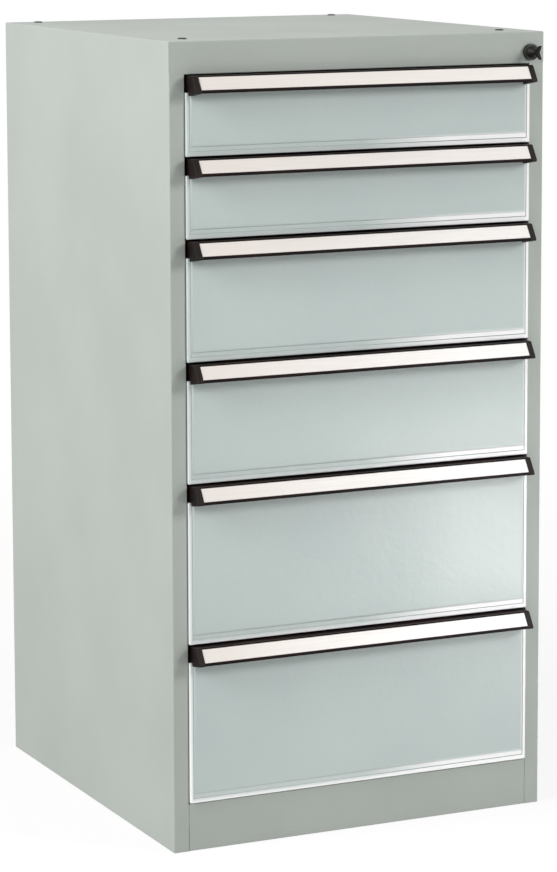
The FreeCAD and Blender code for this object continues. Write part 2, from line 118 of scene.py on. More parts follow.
def enamel(tone, cloud, rough, edge_highlight_tone=None, ripple=0.15):
    """Powder coat with clouds 190 mm across, a fleck of 1.4 mm and an orange peel of 2.2 mm.

    Fleck and peel are coarser than the real ones, so that they show. The sheet below is very
    slightly uneven every 32 mm, with a ripple of 11 mm. Where a piece carries the attribute edge,
    the coat turns by that share to the edge tone, a painted white highlight, and by a share below 0
    to a painted shade that darkens a groove.
    """
    grains = [(190 * MM, 4.0), (32 * MM, 2.0), (1.4 * MM, 2.0), (2.2 * MM, 2.0), (11 * MM, 2.0)]

    def shade(tree, place):
        clouds, dents, fleck, peel, waves = [
            add(tree, "TexNoise", {"Vector": place, "Scale": 1 / size, "Detail": detail})[0]
            for size, detail in grains
        ]
        share = add(tree, "MapRange", {"Value": clouds, "From Min": 0.35, "From Max": 0.65})[0]
        paint = add(tree, "Mix", {0: share, 6: linear(tone), 7: linear(cloud)}, data_type="RGBA")[2]
        share = add(tree, "MapRange", {
            "Value": fleck, "From Min": 0.5, "From Max": 0.8, "To Max": 0.12,
        })[0]
        paint = add(tree, "Mix", {0: share, 6: paint, 7: linear("#7C827D")}, data_type="RGBA")[2]
        if edge_highlight_tone:
            edge = add(tree, "Attribute", attribute_name="edge")["Fac"]
            # Painted highlight: the coat turns white by the edge share.
            paint = add(tree, "Mix", {0: edge, 6: paint, 7: linear(edge_highlight_tone)}, data_type="RGBA")[2]
            # Painted shade: a share below 0 darkens the coat in a groove.
            painted_groove_shade = add(tree, "MapRange", {0: edge, "From Min": 0.0, "From Max": -1.0})[0]
            paint = add(tree, "Mix", {0: painted_groove_shade, 6: paint, 7: linear("#6A7271")}, data_type="RGBA")[2]
        gloss = add(tree, "MapRange", {
            "Value": clouds, "To Min": rough - 0.06, "To Max": rough + 0.06,
        })[0]
        bump = add(tree, "Bump", {"Height": dents, "Strength": 0.3, "Distance": 0.9 * MM})[0]
        bump = add(tree, "Bump", {
            "Height": waves, "Strength": ripple, "Distance": 0.4 * MM, "Normal": bump,
        })[0]
        bump = add(tree, "Bump", {
            "Height": peel, "Strength": 0.25, "Distance": 0.08 * MM, "Normal": bump,
        })[0]
        return add(tree, "BsdfPrincipled", {
            "Base Color": paint, "Roughness": gloss, "Normal": bump,
        })[0]
    return shade


carcass_enamel = material("powder_coat_light_grey", enamel("#AAB0AA", "#A5ABA5", rough=0.55))

# Side panels: two sheets folded over the full height, each with its front stile, the stile's
# return and a flange at the back. 1.2 mm steel, bent on a press brake, with a drilled foot flange
# welded in.
sheet = 1.2 * MM
bend_radius = 1.3 * MM
opening_fold = 0.6 * MM
bend_steps = 8
front_gap = 1 * MM
stile_return = 15 * MM
rear_flange = 20 * MM
foot_flange = 55 * MM
foot_setback = 20.4 * MM
rail_seam = 0.05 * MM
hole_radius = 4.5 * MM
plug_radius = 5.4 * MM
touching = 0.001 * MM
sharp_turn = math.radians(35)

side_low, side_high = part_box("side_panel_right")
front_y, back_y, half_width = side_low.y, side_high.y, side_high.x
web_inside = half_width - sheet
opening_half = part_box("drawer_1_front")[1].x + front_gap
rail_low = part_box("top_rail")[0].z
plugs_low, plugs_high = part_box("top_plugs")
hole_x = plugs_high.x - plug_radius
hole_ys = (plugs_low.y + plug_radius, plugs_high.y - plug_radius)


def outline(corners, radii, inset=0.0, steps=bend_steps):
    """Line through corners (n, 2), anticlockwise, moved inwards by inset, an arc at each corner.

    With h half the angle by which the line turns at a corner, and the inward direction between
    the left normals of its two sides, the corner moves inwards by inset / cos h. The arc's centre
    lies r / cos h from there, towards the inside of the turn, and its ends lie r tan h from the
    corner. Its points are the spherical mean of the two end radii. The least sine only keeps a
    corner without a turn from a division by 0.
    """
    least_sine = 1e-9
    corners = np.asarray(corners, float)
    leave = np.roll(corners, -1, 0) - corners
    leave /= np.linalg.norm(leave, axis=1, keepdims=True)
    arrive = np.roll(leave, 1, 0)
    inward = (leave + arrive)[:, ::-1] * (-1, 1)
    inward /= np.linalg.norm(inward, axis=1, keepdims=True)
    cosine = np.clip(leave[:, 0] * inward[:, 1] - leave[:, 1] * inward[:, 0], 0, 1)[:, None]
    turn = np.sign(arrive[:, 0] * leave[:, 1] - arrive[:, 1] * leave[:, 0])[:, None]
    corners = corners + inward * inset / cosine
    radii = np.maximum(np.broadcast_to(radii, len(corners))[:, None] - turn * inset, 0)
    reach = radii * np.sqrt(1 - cosine ** 2) / cosine
    centres = corners + turn * inward * radii / cosine
    first = (corners - arrive * reach - centres)[:, None]
    last = (corners + leave * reach - centres)[:, None]
    swing = 2 * np.arccos(cosine)[:, :, None]
    share = np.linspace(0, 1, steps + 1)[None, :, None]
    sine = np.maximum(np.sin(swing), least_sine)
    arcs = np.sin((1 - share) * swing) / sine * first + np.sin(share * swing) / sine * last
    return (centres[:, None] + arcs).reshape(-1, 2)


def placed(flat, height, axes):
    """Points (..., 2) and their height as x, y, z; axes names where each of the three goes."""
    flat = np.asarray(flat, float)
    points = np.empty((*flat.shape[:-1], 3))
    points[..., "xyz".index(axes[0])] = flat[..., 0]
    points[..., "xyz".index(axes[1])] = flat[..., 1]
    points[..., "xyz".index(axes[2])] = height
    return points


def lofted(rows, ring=False):
    """Closed lines of n points each, joined by quads; the ends are filled, or joined in a ring."""
    rows = np.asarray(rows)
    index = np.arange(rows.shape[0] * rows.shape[1]).reshape(rows.shape[:2])
    onward = np.roll(index, -1, 1)
    quads = np.stack([index, onward, np.roll(onward, -1, 0), np.roll(index, -1, 0)], -1)
    faces = quads[:None if ring else -1].reshape(-1, 4).tolist()
    if not ring:
        faces += [index[0][::-1].tolist(), index[-1].tolist()]
    return rows.reshape(-1, 3), faces


def folded(corners, radius, thickness, levels, axes, cut=None):
    """Bent sheet: an open line and the same line moved in by its thickness, along the levels.

    The radius is one for all its bends, or one for each. The line is run on past its ends for its
    outline, of which one point is kept at each end. Cells for which cut(middle points, middle
    levels) is true are left out, and every edge between a kept cell and a gap gets a wall.
    """
    corners = np.asarray(corners, float)
    ends = 2 * corners[[0]] - corners[1], 2 * corners[[-1]] - corners[-2]
    open_line = np.concatenate([ends[0], corners, ends[1]])
    radii = [0, 0, *np.broadcast_to(radius, len(corners) - 2), 0, 0]
    kept = slice(2 * bend_steps + 1, -2 * bend_steps - 1)
    lines = np.stack([outline(open_line, radii, inset)[kept] for inset in (0, thickness)])
    levels = np.asarray(levels)
    points = placed(lines[:, :, None].repeat(len(levels), 2), levels, axes)
    index = np.arange(points[..., 0].size).reshape(points.shape[:3])
    middles = (lines[0, :-1, None] + lines[0, 1:, None]) / 2
    keep = np.ones((middles.shape[0], len(levels) - 1), bool)
    if cut:
        keep = ~cut(middles, (levels[:-1] + levels[1:]) / 2)
    near, far = index[:, :-1], index[:, 1:]
    skins = np.stack([near[..., :-1], far[..., :-1], far[..., 1:], near[..., 1:]], -1)
    fringe = np.pad(keep, 1)
    outer, inner = index
    walls = np.stack([outer[:, :-1], outer[:, 1:], inner[:, 1:], inner[:, :-1]], -1)
    rims = np.stack([outer[:-1], outer[1:], inner[1:], inner[:-1]], -1)
    faces = skins[:, keep].reshape(-1, 4).tolist()
    faces += walls[fringe[1:, 1:-1] != fringe[:-1, 1:-1]].tolist()
    faces += rims[fringe[1:-1, 1:] != fringe[1:-1, :-1]].tolist()
    return points.reshape(-1, 3), faces


def rectangle(u, v):
    """Four corners, anticlockwise, between two values on each axis."""
    return [(u[0], v[0]), (u[1], v[0]), (u[1], v[1]), (u[0], v[1])]


def drilled_plate(x, y, z, centre, radius):
    """Plate with one round hole: its four sides and the hole's wall, joined in a ring."""
    edge = outline(rectangle(x, y), 0)
    hole_u, hole_v = [(middle - radius, middle + radius) for middle in centre]
    hole = outline(rectangle(hole_u, hole_v), radius)
    rows = [(edge, z[0]), (edge, z[1]), (hole, z[1]), (hole, z[0])]
    return lofted([placed(line, height, "xyz") for line, height in rows], ring=True)


def piece(name, parts, paint, body, node, edge=None):
    """One object from closed parts, standing for a node of the frame.

    Its doubles are merged, its normals face outwards, and it is smooth apart from sharp turns.
    """
    starts = np.cumsum([0] + [len(part[0]) for part in parts]).tolist()
    faces = [[start + corner for corner in face]
             for start, part in zip(starts, parts) for face in part[1]]
    mesh = bpy.data.meshes.new(name)
    mesh.from_pydata(np.concatenate([part[0] for part in parts]).tolist(), [], faces)
    if edge is not None:
        mesh.attributes.new("edge", "FLOAT", "POINT").data.foreach_set("value", edge)
    shell = bmesh.new()
    shell.from_mesh(mesh)
    bmesh.ops.remove_doubles(shell, verts=shell.verts, dist=touching)
    bmesh.ops.recalc_face_normals(shell, faces=shell.faces)
    shell.to_mesh(mesh)
    shell.free()
    mesh.shade_smooth()
    mesh.set_sharp_from_angle(angle=sharp_turn)
    mesh.materials.append(paint)
    made = bpy.data.objects.new(name, mesh)
    bpy.context.scene.collection.objects.link(made)
    made.modifiers.new("flats", "WEIGHTED_NORMAL").keep_sharp = True
    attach(made, body)
    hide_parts(node)


def side_panel(side):
    """Folded sheet and foot flange of one side; side is 1 on the right and -1 on the left."""
    section = np.array([
        (opening_half, front_y + stile_return),
        (opening_half, front_y),
        (half_width, front_y),
        (half_width, back_y),
        (half_width - rear_flange, back_y),
    ]) * (side, 1)
    stile_top = rail_low + bend_radius - rail_seam

    def behind_fascia(middles, levels):
        """True for the cells of stile, return and bend that the top rail takes the place of."""
        return (middles[..., 1] < front_y + stile_return) & (levels > stile_top)

    levels = [side_low.z, stile_top, side_high.z]
    bends = [opening_fold, bend_radius, bend_radius][::side]
    parts = [folded(section[::side], bends, sheet, levels, "xyz", behind_fascia)]
    foot_x = sorted((side * (half_width - foot_flange), side * web_inside))
    breaks = (front_y + foot_setback, sum(hole_ys) / 2, back_y - sheet)
    for near, far, hole_y in zip(breaks, breaks[1:], hole_ys):
        hole = (side * hole_x, hole_y)
        parts.append(drilled_plate(foot_x, (near, far), (0, sheet), hole, hole_radius))
    return parts


for word, side in (("right", 1), ("left", -1)):
    node = "side_panel_" + word
    piece(node + "_sheet", side_panel(side), carcass_enamel, "cabinet", node)


# Back sheet and cabinet floor: flat enamelled sheets, let in between the sides and spot welded.
# Their shapes stay as the frame has them.
def keep_node(name, paint):
    """Gives a CAD node whose shape is right its better material."""
    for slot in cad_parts[name].material_slots:
        slot.material = paint


keep_node("back_panel", carcass_enamel)
keep_node("bottom_panel", carcass_enamel)

# Base rail and top rail: fascias bent from the same sheet. The base rail is turned back at both
# edges, the top rail at its lower edge only, and the top rail runs over the full width.
base_low, base_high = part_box("base_rail")
top_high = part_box("top_rail")[1]

base_section = [
    (base_high.y, base_high.z),
    (front_y, base_high.z),
    (front_y, base_low.z),
    (base_high.y, base_low.z),
]
base_rail = folded(base_section, bend_radius, sheet, [base_low.x, base_high.x], "yzx")
piece("base_rail_sheet", [base_rail], carcass_enamel, "cabinet", "base_rail")

top_section = [(front_y, top_high.z), (front_y, rail_low), (top_high.y, rail_low)]


def past_opening(middles, levels):
    """True for the cells of bend and turned-back edge that the stiles take the place of."""
    return (middles[..., 0] > front_y + touching) & (abs(levels) > opening_half)


rail_levels = [-half_width, -opening_half, opening_half, half_width]
top_rail = folded(top_section, bend_radius, sheet, rail_levels, "yzx", past_opening)
piece("top_rail_sheet", [top_rail], carcass_enamel, "cabinet", "top_rail")

# Top panel: a plate over sides and fascia with a rolled upper edge, stiffened below at both sides
# and at the back, where the stiffeners are welded on.
roll = 1.1 * MM
plate_corner = 1.4 * MM
moulding_steps = 4
rounding_steps = 5
stiffener_setback = 20 * MM
plate_low, plate_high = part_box("top_panel")
top_underside = plate_high.z - sheet


def rounding(start, end):
    """Quarter ellipse of (inset, height) pairs that leaves start along the height, ending level.

    At the angle a, the inset has gone the share 1 - cos a of its way, and the height sin a.
    """
    (inset, height), (last_inset, last_height) = start, end
    return [(inset + (last_inset - inset) * (1 - math.cos(a)),
             height + (last_height - height) * math.sin(a))
            for a in np.linspace(0, np.pi / 2, rounding_steps + 1)]


def moulded(corners, radii, profile, axes):
    """Closed part: the outline at each (inset, height) pair of the profile, joined in order."""
    return lofted([placed(outline(corners, radii, inset, moulding_steps), height, axes)
                   for inset, height in profile])


def bar(x, y, z):
    """Plain sheet metal bar between two values along each axis, with its edges just broken."""
    broken = 0.15 * MM
    profile = [(broken, z[0]), (0, z[0] + broken), (0, z[1] - broken), (broken, z[1])]
    return moulded(rectangle(x, y), broken * 2, profile, "xyz")


plate_outline = rectangle((-half_width, half_width), (front_y, back_y))
plate_profile = [(0, top_underside), *rounding((0, plate_high.z - roll), (roll, plate_high.z))]
plate = moulded(plate_outline, plate_corner, plate_profile, "xyz")
back_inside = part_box("back_panel")[0].y
stiff_z = (plate_low.z, top_underside)
stiff_y = (front_y + stiffener_setback, back_inside - sheet)
stiffeners = [
    bar((web_inside - sheet, web_inside), stiff_y, stiff_z),
    bar((-web_inside, sheet - web_inside), stiff_y, stiff_z),
    bar((-web_inside, web_inside), (back_inside - sheet, back_inside), stiff_z),
]
top_parts = [plate, *stiffeners]
piece("top_panel_sheet", top_parts, carcass_enamel, "cabinet", "top_panel")

# Plugs: four round-headed stoppers of dark grey polyethylene, injection moulded and pushed into
# the fixing holes of the top.
plug_rim = 0.7 * MM
plug_edge = 0.9 * MM
stem_radius = 4.4 * MM


def turned(centre, profile, axes, ring=False, count=48):
    """Turned part: circles of (radius, height) about centre, joined in their order."""
    angle = np.linspace(0, 2 * np.pi, count, endpoint=False)
    circle = np.stack([np.cos(angle), np.sin(angle)], -1)
    rows = [placed(np.asarray(centre) + radius * circle, height, axes)
            for radius, height in profile]
    return lofted(rows, ring)


def moulded_plastic(tone, worn, rough, texture):
    """Moulded plastic: a spark-eroded skin of the given grain, and duller worn patches of 14 mm."""
    def shade(tree, place):
        skin = add(tree, "TexNoise", {"Vector": place, "Scale": 1 / texture, "Detail": 3.0})[0]
        patches = add(tree, "TexNoise", {"Vector": place, "Scale": 1 / (14 * MM), "Detail": 4.0})[0]
        share = add(tree, "MapRange", {"Value": patches, "From Min": 0.4, "From Max": 0.75})[0]
        tint = add(tree, "Mix", {0: share, 6: linear(tone), 7: linear(worn)}, data_type="RGBA")[2]
        gloss = add(tree, "MapRange", {
            "Value": patches, "To Min": rough, "To Max": rough + 0.2,
        })[0]
        bump = add(tree, "Bump", {"Height": skin, "Strength": 0.3, "Distance": 0.1 * MM})[0]
        return add(tree, "BsdfPrincipled", {
            "Base Color": tint, "Roughness": gloss, "Specular IOR Level": 0.2, "Normal": bump,
        })[0]
    return shade


plug_plastic = material(
    "moulded_dark_grey_polyethylene",
    moulded_plastic("#383C39", "#4A4E4A", rough=0.5, texture=0.5 * MM),
)
plug_profile = [
    (stem_radius - plug_rim, plugs_low.z),
    (stem_radius, plugs_low.z + plug_rim),
    (stem_radius, plate_high.z),
    (plug_radius, plate_high.z),
    (plug_radius, plate_high.z + plug_rim),
    (plug_radius - plug_edge / 3, plugs_high.z - plug_edge / 3),
    (plug_radius - plug_edge, plugs_high.z - plug_edge / 9),
    (plug_radius / 2, plugs_high.z),
]
plugs = [turned((side * hole_x, y), plug_profile, "xyz") for side in (-1, 1) for y in hole_ys]
piece("top_plug_caps", plugs, plug_plastic, "cabinet", "top_plugs")


# Uprights and runner members: rolled from galvanised strip. The uprights keep the spangle of the
# hot dip, 9 mm across; the runners are bright zinc plated, with fine lines along their drawing
# direction.
def zinc(spangle, line, dark, bright, rough):
    """Zinc coat: crystal cells of the spangle's size, and rolling lines drawn out along Y."""
    def shade(tree, place):
        cells = add(tree, "TexVoronoi", {"Vector": place, "Scale": 1 / spangle})["Color"]
        cell = add(tree, "SeparateColor", {"Color": cells})["Red"]
        drawn = add(tree, "Mapping", {"Vector": place, "Scale": (1, 0.02, 1)})[0]
        lines = add(tree, "TexNoise", {"Vector": drawn, "Scale": 1 / line, "Detail": 2.0})[0]
        tint = add(tree, "Mix", {0: cell, 6: linear(dark), 7: linear(bright)}, data_type="RGBA")[2]
        gloss = add(tree, "MapRange", {"Value": cell, "To Min": rough, "To Max": rough + 0.12})[0]
        bump = add(tree, "Bump", {"Height": lines, "Strength": 0.25, "Distance": 0.05 * MM})[0]
        return add(tree, "BsdfPrincipled", {
            "Base Color": tint, "Metallic": 1.0, "Roughness": gloss, "Normal": bump,
        })[0]
    return shade


galvanised = material(
    "galvanised_strip", zinc(9 * MM, 1.2 * MM, "#A3A9AC", "#C4C9CB", rough=0.34),
)
bright_zinc = material(
    "bright_zinc_plate", zinc(30 * MM, 0.7 * MM, "#B4B9BD", "#C3C8CB", rough=0.26),
)
keep_node("uprights", galvanised)
keep_node("cabinet_runners", bright_zinc)

# Lock: a turned housing of black chromated zinc in the top rail with its nut, plug and cam behind.
# The bar that the cam lifts is flat plated steel and slides in guides on the right side panel.
bore_radius = 6.05 * MM
bore_chamfer = 0.4 * MM
body_radius = 7.5 * MM
head_edge = 0.8 * MM
# Depth of each row of the groove round the head, and how far it stands out from the rail.
head_groove = [(0, 3.2 * MM), (0.4 * MM, 3.0 * MM), (0.4 * MM, 2.4 * MM), (0, 2.2 * MM)]
housing_points = 64
housing_low, housing_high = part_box("lock_housing")
head_radius = (housing_high.x - housing_low.x) / 2
lock_centre = ((housing_low.x + housing_high.x) / 2, (housing_low.z + housing_high.z) / 2)


def chromated(tree, place):
    """Black chromated die casting: a near black olive film, thinner and browner every 6 mm."""
    patches = add(tree, "TexNoise", {"Vector": place, "Scale": 1 / (6 * MM), "Detail": 4.0})[0]
    marks = add(tree, "TexNoise", {"Vector": place, "Scale": 1 / (0.5 * MM), "Detail": 2.0})[0]
    share = add(tree, "MapRange", {"Value": patches, "From Min": 0.4, "From Max": 0.7})[0]
    tint = add(tree, "Mix", {
        0: share, 6: linear("#232524"), 7: linear("#3A3B36"),
    }, data_type="RGBA")[2]
    bump = add(tree, "Bump", {"Height": marks, "Strength": 0.2, "Distance": 0.05 * MM})[0]
    return add(tree, "BsdfPrincipled", {
        "Base Color": tint, "Metallic": 0.6, "Roughness": 0.38, "Normal": bump,
    })[0]


lock_film = material("black_chromated_zinc", chromated)
face = housing_low.y
housing_profile = [
    (bore_radius, face + bore_chamfer),
    (bore_radius + bore_chamfer, face),
    (head_radius - head_edge, face),
    (head_radius - head_edge / 4, face + head_edge / 4),
    (head_radius, face + head_edge),
    *[(head_radius - depth, front_y - out) for depth, out in head_groove],
    (head_radius, front_y),
    (body_radius, front_y),
    (body_radius, housing_high.y),
    (bore_radius, housing_high.y),
]
housing = turned(lock_centre, housing_profile, "xzy", ring=True, count=housing_points)
piece("lock_barrel", [housing], lock_film, "cabinet", "lock_housing")
keep_node("lock_nut", bright_zinc)
keep_node("lock_cylinder", lock_film)
keep_node("lock_cam", bright_zinc)
keep_node("lock_bar", bright_zinc)
keep_node("lock_bar_guides", plug_plastic)

# Key: a milled steel blade in a black moulded grip, a short cone that spreads into a flat bow with
# two wings. It stands in the plug and turns with it.
blade_half_sheet = 1 * MM
blade_half_height = 3.75 * MM
blade_corner = 0.3 * MM
blade_lead = 0.6 * MM
collar_radius = 7.6 * MM
collar_length = 9 * MM
collar_gap = 0.3 * MM
collar_edge = 0.5 * MM
collar_land = 1.2 * MM
collar_taper = 0.3 * MM
neck_radius = 2.4 * MM
neck_flare = 0.6 * MM
bow_half_sheet = 1.7 * MM
bow_half_neck = 2.3 * MM
bow_tip = 3 * MM
bow_notch = 5.5 * MM
bow_edge = 0.6 * MM
bow_radii = [0, 3 * MM, 0.9 * MM, 0.6 * MM, 1.5 * MM, 0.6 * MM, 0.9 * MM, 3 * MM, 0]
bow_angles = (0, 0.52, 1.05, 1.571)

key_low, key_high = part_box("key")
lock_x, lock_z = lock_centre
collar_back = face - collar_gap
collar_middle = collar_back - collar_length / 2
waist = collar_back - collar_length
half_bow = (key_high.z - key_low.z) / 2
bow_corners = [
    (collar_middle, bow_half_neck),
    (waist, bow_half_neck),
    (key_low.y + bow_tip, half_bow),
    (key_low.y, half_bow),
    (key_low.y + bow_notch, 0),
    (key_low.y, -half_bow),
    (key_low.y + bow_tip, -half_bow),
    (waist, -bow_half_neck),
    (collar_middle, -bow_half_neck),
]
bow_side = [(bow_edge * (1 - math.cos(a)), bow_half_sheet - bow_edge + bow_edge * math.sin(a))
            for a in bow_angles]
bow_profile = [
    *[(inset, lock_x - out) for inset, out in bow_side[::-1]],
    *[(inset, lock_x + out) for inset, out in bow_side],
]
bow = moulded(np.array(bow_corners) + (0, lock_z), bow_radii, bow_profile, "yzx")
collar = turned(lock_centre, [
    (collar_radius - collar_edge, collar_back),
    (collar_radius, collar_back - collar_edge),
    (collar_radius - collar_taper, collar_back - collar_land),
    (neck_radius + neck_flare, waist + collar_land),
    (neck_radius, waist),
], "xzy")
key_plastic = material(
    "moulded_black_nylon", moulded_plastic("#0C0D0C", "#191918", rough=0.4, texture=0.4 * MM),
)
piece("key_grip", [bow, collar], key_plastic, "lock_cylinder", "key")
blade_section = rectangle((lock_x - blade_half_sheet, lock_x + blade_half_sheet),
                          (lock_z - blade_half_height, lock_z + blade_half_height))
blade_profile = [
    (blade_corner, key_high.y),
    (0, key_high.y - blade_lead),
    (0, collar_middle),
]
blade = moulded(blade_section, blade_corner, blade_profile, "xzy")
piece("key_blade", [blade], bright_zinc, "lock_cylinder", "key")

# Drawer fronts: pans of 1.2 mm sheet, turned back all round, with a flat field raised 1.2 mm
# inside a narrow rim, a fine groove round it and notched upper corners. Their powder coat is bluer
# and glossier than the carcass. A white highlight is painted on their proud edge, rim and field
# edge, strongest at the foot and to the right, and painted shade darkens the groove.
field_inset = 5 * MM
field_foot = 6.5 * MM
field_rise = 1.2 * MM
field_roll = 3.5 * MM
front_edge = 1.0 * MM
front_corner = 1.2 * MM
front_proud = 4.4 * MM
edge_fade = 1.5 * MM
groove_foot = 1.5 * MM
groove_width = 1.1 * MM
groove_depth = 0.5 * MM
fine_step = 0.3 * MM
highlight_ramp = (0.0, 0.5)
left_highlight_heights = (0.1, 0.22, 0.42, 0.62)
left_highlight_shares = (1.0, 0.75, 0.5, 0.2)
# Shares of the edge tone at the left and right: none, a full painted highlight, and the painted
# shade of the groove.
plain, shining, shaded_groove = (0, 0), (1, 1), (-0.2, -1)
# Painted highlight shares on the outer rim, the inner rim and the field's edge.
rim_highlight_shares = (0.9, 1), (0.35, 1), (0.15, 0.95)
front_enamel = material(
    "powder_coat_pale_blue_grey",
    enamel("#C0CBC8", "#BBC6C4", rough=0.3, edge_highlight_tone="#FFFFFF", ripple=0.5),
)


def drawer_front(number):
    """Front pan of one drawer, from the inside of its field round its turned edge to its face.

    Each row is an inset, a place along Y, the shares of the edge tone at the left and the right,
    how far its bottom line is raised, and how far it lies inside the sheet. The edge tone is a
    painted white highlight, and a share below 0 is painted shade in the groove. Across the middle
    of the front the left shares change into the right ones, and the left shares are weakened higher
    up. Over the rolled edge of the field the shares fall to 0, at the left with the square of the
    way that is left. Above the underside of the handle the rows stop at the notches that the end
    caps fill, and the painted highlight stops there too.
    """
    node = "drawer_%d_front" % number
    low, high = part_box(node)
    handle_low, handle_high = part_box("drawer_%d_handle" % number)
    rim = low.y + field_rise
    groove_start = field_inset - groove_width
    edge_rows = rounding((0, rim + front_edge), (front_edge, rim))
    roll_rows = rounding((field_inset, rim), (field_inset + field_roll, low.y))
    outer_rim, inner_rim, field_edge = rim_highlight_shares
    ways = 1 - np.arange(rounding_steps + 1) / rounding_steps
    rows = [
        (field_inset + sheet, low.y + sheet, plain, field_foot, sheet),
        (field_inset + sheet, rim + sheet, plain, field_foot, sheet),
        (sheet, rim + sheet, plain, 0, sheet),
        (sheet, high.y, plain, 0, sheet),
        (0, high.y, plain, 0, 0),
        (0, low.y + front_proud + edge_fade, plain, 0, 0),
        (0, low.y + front_proud, shining, 0, 0),
        *[(inset, at, shining, 0, 0) for inset, at in edge_rows],
        (groove_start / 2, rim, outer_rim, 0, 0),
        (groove_start, rim, inner_rim, groove_foot, 0),
        (groove_start + groove_width / 3, rim + groove_depth, shaded_groove, groove_foot, 0),
        (field_inset - groove_width / 3, rim + groove_depth, shaded_groove, groove_foot, 0),
        (field_inset, rim, field_edge, groove_foot, 0),
        *[(inset, at, (field_edge[0] * way ** 2, field_edge[1] * way), field_foot, 0)
          for way, (inset, at) in zip(ways, roll_rows)],
    ]
    radii = [front_corner, 0, 0, front_corner, 0, 0, front_corner, front_corner, 0, 0]
    notched = slice(5, 9)        # the corners from the right notch over the top to the left one
    lines = []
    for inset, at, _, foot, inside in rows:
        notch_foot = handle_low.z - inside
        levels = (low.z + foot, notch_foot - fine_step, notch_foot, high.z)
        corners = [
            (low.x, levels[0]), *[(high.x * share, levels[0]) for share in highlight_ramp],
            *[(high.x, z) for z in levels], *[(low.x, z) for z in levels[:0:-1]],
        ]
        line = placed(outline(corners, radii, inset, moulding_steps), at, "xzy")
        above = line.reshape(len(corners), -1, 3)[notched]
        above[..., 0] = np.clip(above[..., 0], inside - handle_high.x, handle_high.x - inside)
        if inset > front_edge and not inside:
            above[..., 1] = min(at, rim)
        lines.append(line)
    points = np.array(lines)
    left, right = np.array([row[2] for row in rows]).T[:, :, None]
    # Painted highlight: the left share fades higher up, and it changes into the right one across
    # the middle.
    left = left * np.interp(points[..., 2], left_highlight_heights, left_highlight_shares)
    rightness = np.interp(points[..., 0] / high.x, highlight_ramp, (0, 1))
    highlight_shares = (left + (right - left) * rightness) * (points[..., 2] < handle_low.z)
    pan = lofted(lines)
    body = "drawer_%d" % number
    piece(node + "_pan", [pan], front_enamel, body, node, edge=highlight_shares.ravel())


# Handles: a hook section extruded in aluminium and anodised black, the full width of the front,
# with a flange over the top of the pan. A groove in its sloping face holds a slid-in label strip,
# and a moulded cap closes each end.
handle_top_depth = 11 * MM
handle_lip = 2.8 * MM
handle_wall = 2.2 * MM
handle_edge = 0.8 * MM
hook_corner = 0.2 * MM
cover_reach = 12 * MM
cover_sheet = 0.8 * MM
strip_margin = 1.6 * MM
strip_width = 17.8 * MM
strip_sheet = 0.8 * MM
strip_play = 0.1 * MM
strip_recess = 1.0 * MM
strip_corner = 0.15 * MM
cap_overhang = 0.4 * MM
cap_edge = 0.5 * MM
cap_fold = 0.3 * MM
cap_radii = [cap_fold, 3.0 * MM, 2.5 * MM, 1.0 * MM, cap_fold, cap_fold, cap_fold]


def anodised(tree, place):
    """Black anodised extrusion: die lines 0.6 mm apart along X, and a dye browner where thin."""
    drawn = add(tree, "Mapping", {"Vector": place, "Scale": (0.01, 1, 1)})[0]
    lines = add(tree, "TexNoise", {"Vector": drawn, "Scale": 1 / (0.6 * MM), "Detail": 2.0})[0]
    thin = add(tree, "TexNoise", {"Vector": place, "Scale": 1 / (60 * MM), "Detail": 3.0})[0]
    share = add(tree, "MapRange", {"Value": thin, "From Min": 0.35, "From Max": 0.7})[0]
    dye = add(tree, "Mix", {
        0: share, 6: linear("#0B0707"), 7: linear("#1F0E0C"),
    }, data_type="RGBA")[2]
    gloss = add(tree, "MapRange", {"Value": lines, "To Min": 0.3, "To Max": 0.45})[0]
    bump = add(tree, "Bump", {"Height": lines, "Strength": 0.3, "Distance": 0.04 * MM})[0]
    return add(tree, "BsdfPrincipled", {
        "Base Color": dye, "Roughness": gloss, "Specular IOR Level": 0.1, "Normal": bump,
    })[0]


def label_stock(tree, place):
    """Cream PVC strip: smooth, with faint flow streaks along its length.

    It is painted paler towards the right and on the lower drawers: painted light.
    """
    parted = add(tree, "SeparateXYZ", {0: place})
    drawn = add(tree, "Mapping", {"Vector": place, "Scale": (0.03, 1, 1)})[0]
    streaks = add(tree, "TexNoise", {"Vector": drawn, "Scale": 1 / (2.5 * MM), "Detail": 3.0})[0]
    rightward = add(tree, "MapRange", {0: parted["X"], "From Min": -0.2, "From Max": 0.14})[0]
    downward = add(tree, "MapRange", {
        0: parted["Z"], "From Min": 0.5, "From Max": 0.98, "To Min": 1.0, "To Max": 0.2,
    })[0]
    # Painted light: the strip turns paler towards the right and lower down.
    painted_light_share = add(tree, "Math", {0: rightward, 1: downward}, operation="MULTIPLY")[0]
    tint = add(tree, "Mix", {
        0: painted_light_share, 6: linear("#DDD6D0"), 7: linear("#FFFDFB"),
    }, data_type="RGBA")[2]
    share = add(tree, "MapRange", {
        "Value": streaks, "From Min": 0.35, "From Max": 0.65, "To Max": 0.2,
    })[0]
    tint = add(tree, "Mix", {0: share, 6: tint, 7: linear("#D0C9C2")}, data_type="RGBA")[2]
    bump = add(tree, "Bump", {"Height": streaks, "Strength": 0.1, "Distance": 0.1 * MM})[0]
    return add(tree, "BsdfPrincipled", {"Base Color": tint, "Roughness": 0.32, "Normal": bump})[0]


black_anodised = material("black_anodised_aluminium", anodised)
cream_strip = material("cream_pvc_strip", label_stock)
cap_plastic = material(
    "moulded_black_brown_abs",
    moulded_plastic("#0D0706", "#1E0F0C", rough=0.4, texture=0.6 * MM),
)


